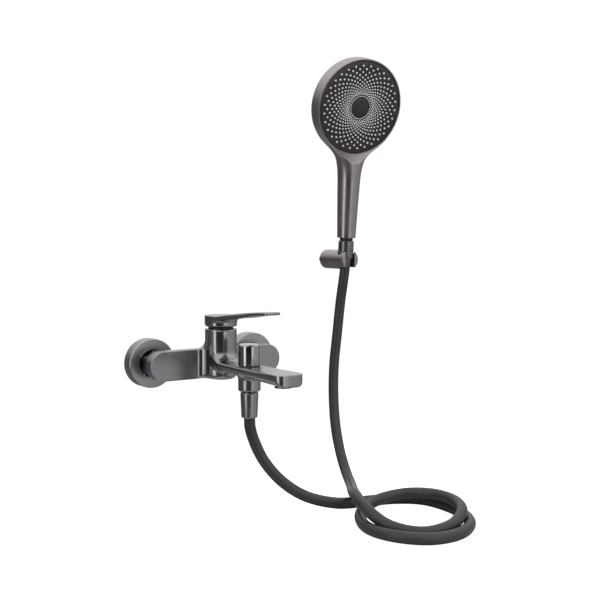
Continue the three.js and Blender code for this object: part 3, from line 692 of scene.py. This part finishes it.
def make_spout_parts():
    on_diverter = at(0, DIVERTER_Y, 0)
    knob = [
        (0, 5.4, 0), (13.3, 5.4, 0.3), (14, 6.1, 0.2), (14, 30.2, 0.15), (12.7, 31.5, 0.15),
        (0, 31.5, 0),
    ]
    dress(turned("diverter_knob_look", knob, on_diverter, 128), "polished", "diverter", "diverter_knob")
    bonnet = [
        (2.5, 5, 0), (2.5, -0.2, 0), (4.6, -0.2, 0), (4.6, -3, 0), (5.9, -3, 0), (5.9, 0.8, 0.2),
        (8.2, 0.8, 0.2), (8.2, 4, 0.5), (4.4, 4, 0.3), (4.4, 5, 0.3),
    ]
    dress(turned("diverter_bonnet_look", bonnet, on_diverter, 64), "brass", "base", "diverter_bonnet")
    nut = [
        (9.9, -28.5, 0), (10.9, -28.5, 0.3), (11.3, -29.2, 0.3), (10.1, -58.1, 0.5),
        (9.2, -59.3, 0.4), (7.4, -59.3, 0.1), (7.4, -42, 0.1), (9.9, -42, 0.1),
    ]
    dress(turned("lower_hose_nut_look", nut, on_diverter, 96), "gunmetal", "base", "lower_hose_nut")
    on_aerator = at(0, AERATOR_Y, 0)
    rim = [
        (7.9, -12.4, 0.2), (10.4, -12.4, 0.4), (10.4, -10.7, 0.2), (9.3, -10.7, 0),
        (9.3, -6.6, 0.2), (7.9, -6.6, 0),
    ]
    dress(turned("aerator_rim", rim, on_aerator), "gunmetal", "base", "aerator_housing")
    insert = [(0, -6.9, 0), (7.6, -6.9, 0.1), (7.6, -8, 0.1)]
    for ring in range(7, 0, -1):
        insert += [(ring, -8, 0.1), (ring - 0.4, -7.3, 0.1)]
        insert += [(ring - 0.6, -7.3, 0.1), (ring - 0.8, -8, 0.1)]
    insert += [(0, -8, 0)]
    dress(turned("aerator_mesh", insert, on_aerator, 72, 2), "white_plastic", "base", "aerator_insert")


make_spring()
make_spout_parts()


# ---- wall bracket ---------------------------------------------------------------------------
def bracket_field(x, y, z):
    x = x - BRACKET[0]
    z = z - BRACKET[2]
    r = np.hypot(x, z)
    whole = round_max(round_max(r - 13.7, BRACKET_FRONT - y, 0.9), y, 0.9)
    lean = math.sin(SEAT_LEAN)
    rise = math.cos(SEAT_LEAN)
    up = (y - SEAT[1]) * -lean + z * rise
    off_seat = np.hypot(x, (y - SEAT[1]) * rise + z * lean)
    cone = 8.2 + np.clip(up + 10, 0, 12.3) * 1.2 / 12.3
    seat = np.where(up > 2.3, 11.3, cone)
    whole = np.maximum(whole, seat - off_seat)
    slot = np.maximum(np.abs(x) - 7.8, y - SEAT[1])
    whole = round_max(whole, -slot, 0.7)
    whole = np.maximum(whole, -rod(r, 9.3, y, -16.5, 8))
    return np.maximum(whole, -rod(np.hypot(x, y + 7), 2.2, z, -20, -8))


def make_bracket():
    bracket = surface(
        "shower_bracket", bracket_field, low("wall_bracket"), high("wall_bracket"), 0.55
    )
    dress(bracket, "satin", "base", "wall_bracket")
    nut = [
        (7.3, -10, 0.1), (7.9, -10, 0.3), (9, 2.6, 0.2), (10.6, 2.6, 0.3), (10.7, 10.4, 0.15),
        (10.45, 10.8, 0.1), (10.45, 11.2, 0.1), (10.9, 11.6, 0.15), (10.9, 25.5, 0.3),
        (9.8, 26.8, 0.3), (9.4, 26.8, 0.1), (9.4, 8.6, 0), (7.3, 8.6, 0),
    ]
    dress(turned("cone_nut_look", nut, on_seat, 96), "dark_steel", "hand_shower", "cone_nut")


make_bracket()


# ---- hand shower ----------------------------------------------------------------------------
HEAD_RADIUS = 65.3
HEAD_WIDEST = 66.0
HEAD_SIDE = 12.0
HEAD_DEPTH = 28.0
GRIP_BOTTOM = 30.8
GRIP = np.array([
    # height, centre in y, half width, half depth
    (GRIP_BOTTOM, 0, 13, 13), (60, 0, 14.1, 14.1), (90, -0.4, 15.2, 15.2), (117, -1, 16.3, 16),
    (127, -1.6, 17.8, 16.2), (137, -2.4, 20.4, 16), (147, -3.4, 25, 15), (156, -4, 31.5, 12.6),
    (164, -4.4, 38, 9.6), (172, -4.6, 40, 8), (182, -4.6, 36, 5),
])


def smooth_table(table, width=4):
    """The table's columns at every millimetre, blurred so that its corners become curves."""
    heights = np.arange(table[0, 0] - 20, table[-1, 0] + 20)
    weights = np.exp(-0.5 * (np.arange(-12, 13) / width) ** 2)
    weights /= weights.sum()
    columns = [np.interp(heights, table[:, 0], table[:, n]) for n in (1, 2, 3)]
    padded = [np.pad(column, 12, mode="edge") for column in columns]
    return heights, [np.convolve(column, weights, mode="valid") for column in padded]


GRIP_HEIGHTS, GRIP_COLUMNS = smooth_table(GRIP)


def shell_field(x, y, z):
    centre, wide, deep = (np.interp(z, GRIP_HEIGHTS, column) for column in GRIP_COLUMNS)
    side = y - centre
    k = np.sqrt((x / wide) ** 2 + (side / deep) ** 2) + 1e-9
    k_slope = np.sqrt((x / wide ** 2) ** 2 + (side / deep ** 2) ** 2) + 1e-9
    grip = k * (k - 1) / k_slope
    grip = round_max(grip, GRIP_BOTTOM - z, 0.8)
    grip = grip + 40 * smoothstep(z, 168, 216)

    up = z - FACE_AT[2]
    ahead = y - FACE_AT[1]
    behind = ahead * math.cos(FACE_TILT) + up * math.sin(FACE_TILT)
    r = np.hypot(x, up * math.cos(FACE_TILT) - ahead * math.sin(FACE_TILT))
    crown = HEAD_DEPTH - HEAD_SIDE
    a = r / HEAD_WIDEST
    b = np.maximum(behind - HEAD_SIDE, 0) / crown
    size = (a ** 5 + b ** 5) ** 0.2 + 1e-9
    steep = np.hypot(a ** 4 / HEAD_WIDEST, b ** 4 / crown) / size ** 4 + 1e-3
    dome = round_max((size - 1) / steep, -behind, 1.2)
    whole = soft_min(grip, dome, 12)

    flared = HEAD_RADIUS + 0.75 * np.maximum(-behind, 0)
    scoop = np.maximum((r - flared) * 0.8, behind)
    whole = round_max(whole, -scoop, 0.3)
    pocket = np.maximum(r - 63.5, np.abs(behind - 2) - 5)
    whole = np.maximum(whole, -pocket)
    return np.maximum(whole, -rod(np.hypot(x, y), 9.4, z, 20, 42.8))


def nozzle_places():
    """Rows of nozzles, each row half a step round from the last, so that they form spirals."""
    places = []
    arms = 30
    rows = 15
    first, last = 18.4, 56.6
    for row in range(rows):
        share = row / (rows - 1)
        radius = first * (last / first) ** share
        for k in range(arms):
            angle = 2 * math.pi * (k + 0.5 * (row % 2)) / arms
            places.append((radius, angle, 0.72 + 0.42 * share))
    for k in range(52):
        places.append((15.5, 2 * math.pi * k / 52, 0.5))
    return places


def make_nozzles():
    """Small soft cones that stand through the face."""
    sides = 10
    points = []
    faces = []
    for radius, angle, size in nozzle_places():
        cx, cy = radius * math.cos(angle), radius * math.sin(angle)
        rings = [(1.25, 0.9), (1.15, 0.1), (1.0, -0.45), (0.72, -0.6)]
        start = len(points)
        for scale, height in rings:
            for k in range(sides):
                turn = 2 * math.pi * k / sides
                reach = size * scale
                points.append((cx + reach * math.cos(turn), cy + reach * math.sin(turn), height))
        for level in range(len(rings) - 1):
            for k in range(sides):
                n = (k + 1) % sides
                one, two = start + level * sides, start + (level + 1) * sides
                faces.append([one + k, one + n, two + n, two + k])
        faces.append(list(range(start, start + sides)))
        faces.append(list(range(start + 3 * sides, start + 4 * sides)))
    nozzles = make_piece("spray_nozzles", points, faces, on_face, 50)
    dress(nozzles, "silicone", "hand_shower")


def make_shower():
    shell = surface(
        "hand_shower_shell", shell_field, (-67, -42, GRIP_BOTTOM), (67, 24, 284), 0.9, on_hand
    )
    dress(shell, "satin", "hand_shower", "shower_shell")
    plate = [
        (14.3, 0.9, 0.2), (16.6, 0.5, 0.3), (58.4, 0.5, 1.5), (61.4, 1.3, 0.8), (62.9, 1.4, 0.3),
        (63.2, 3, 0.1), (14.3, 3, 0.1),
    ]
    dress(turned("spray_face", plate, on_face, 160), "charcoal", "hand_shower", "face_plate")
    cap = [(0, 0.35, 0), (9, 0.5, 3), (13.3, 1.1, 0.6), (14, 1.6, 0.2), (14, 3, 0.1), (0, 3, 0)]
    dress(turned("spray_centre", cap, on_face, 96), "charcoal", "hand_shower", "centre_cap")
    make_nozzles()


make_shower()


# ---- the CAD nodes that stay in view --------------------------------------------------------
def dress_cad_nodes():
    slots = {part["node"]: part["material_slot"] for part in frame["record"]["subparts"]}
    for name, node in frame["nodes"].items():
        node.data.materials.clear()
        node.data.materials.append(finishes[slots[name]])
        node.data.shade_smooth()
        node.data.set_sharp_from_angle(angle=math.radians(35))


dress_cad_nodes()


# ---- floor and light ------------------------------------------------------------------------
def make_floor():
    """A pale plain floor under the coiled hose that glows white to the camera."""
    left, front, z = low("hose") + (-110, -180, -0.2)
    right, back = high("hose")[:2] + (200, 160)
    points = [(left, front, z), (right, front, z), (right, back, z), (left, back, z)]
    floor = make_piece("floor", points, [(0, 1, 2, 3)])
    material, tree, shader = blank("floor")
    noise = grain(tree, 3)
    pale = tint(tree, noise.outputs["Fac"], (0.5, 0.5, 0.505), (0.54, 0.54, 0.545))
    tree.links.new(pale, shader.inputs["Base Color"])
    shader.inputs["Roughness"].default_value = 0.9
    shader.inputs["Specular IOR Level"].default_value = 0.0
    shader.inputs["Emission Color"].default_value = (1, 1, 1, 1)
    seen = tree.nodes.new("ShaderNodeLightPath")
    tree.links.new(seen.outputs["Is Camera Ray"], shader.inputs["Emission Strength"])
    floor.data.materials.append(material)


# The studio's upright strips: degrees round from the camera's side to its right, brightness
STRIPS = [
    (-180, 0.8), (-162, 0.7), (-146, 0.13), (-100, 0.1), (-62, 0.12), (-55, 0.5), (-49, 2.1),
    (-38, 2.1), (-33, 0.3), (-28, 0.025), (20, 0.02), (26, 0.3), (30, 1.5), (35, 1.5), (41, 0.8),
    (54, 0.6), (70, 0.56), (100, 0.5), (122, 0.3), (150, 0.3), (165, 0.7), (180, 0.8),
]


def make_world():
    """A studio all round: upright strips of light and dark, a bright top and a white backdrop."""
    world = bpy.data.worlds.new("studio")
    bpy.context.scene.world = world
    world.use_nodes = True
    tree = world.node_tree
    sky = tree.nodes["Background"]
    place = tree.nodes.new("ShaderNodeTexCoord")
    to_camera = (-math.sin(VIEW_TURN), -math.cos(VIEW_TURN), 0)
    to_right = (math.cos(VIEW_TURN), -math.sin(VIEW_TURN), 0)

    def measure(direction):
        dot = tree.nodes.new("ShaderNodeVectorMath")
        dot.operation = "DOT_PRODUCT"
        dot.inputs[1].default_value = direction
        tree.links.new(place.outputs["Generated"], dot.inputs[0])
        return dot.outputs["Value"]

    angle = tree.nodes.new("ShaderNodeMath")
    angle.operation = "ARCTAN2"
    tree.links.new(measure(to_right), angle.inputs[0])
    tree.links.new(measure(to_camera), angle.inputs[1])
    level = spread(tree, angle.outputs[0], 0, 1, -math.pi, math.pi)
    strips = tree.nodes.new("ShaderNodeValToRGB")
    ramp = strips.color_ramp
    while len(ramp.elements) < len(STRIPS):
        ramp.elements.new(0.5)
    for element, (degrees, value) in zip(ramp.elements, STRIPS):
        element.position = (degrees + 180) / 360
        element.color = (value, value, value * 1.02, 1)
    tree.links.new(level, strips.inputs["Fac"])

    def fade(source, amount, color):
        mixed = tree.nodes.new("ShaderNodeMix")
        mixed.data_type = "RGBA"
        tree.links.new(amount, mixed.inputs["Factor"])
        tree.links.new(source, mixed.inputs["A"])
        mixed.inputs["B"].default_value = color
        return mixed.outputs["Result"]

    up = measure((0, 0, 1))
    sides = fade(strips.outputs["Color"], spread(tree, up, 1, 0, -0.35, -0.13), (0.16, 0.16, 0.17, 1))
    around = fade(sides, spread(tree, up, 0, 1, 0.12, 0.7), (1.0, 1.0, 1.02, 1))

    seen = tree.nodes.new("ShaderNodeLightPath")
    final = tree.nodes.new("ShaderNodeMix")
    final.data_type = "RGBA"
    tree.links.new(seen.outputs["Is Camera Ray"], final.inputs["Factor"])
    tree.links.new(around, final.inputs["A"])
    final.inputs["B"].default_value = (1.05, 1.05, 1.05, 1)
    tree.links.new(final.outputs["Result"], sky.inputs["Color"])


def make_soft_light():
    """A large soft light over the camera's shoulder that the metal does not mirror."""
    data = bpy.data.lights.new("soft", "AREA")
    data.size = 1.0
    data.energy = 7
    light = bpy.data.objects.new("soft", data)
    bpy.context.scene.collection.objects.link(light)
    light.location = (0.1, -1.5, 0.75)
    aim = Vector(SEAT * MM) - light.location
    light.rotation_mode = "QUATERNION"
    light.rotation_quaternion = aim.to_track_quat("-Z", "Y")
    light.visible_glossy = False
    light.visible_camera = False


make_floor()
make_world()
make_soft_light()
bpy.context.scene.view_settings.view_transform = "Standard"
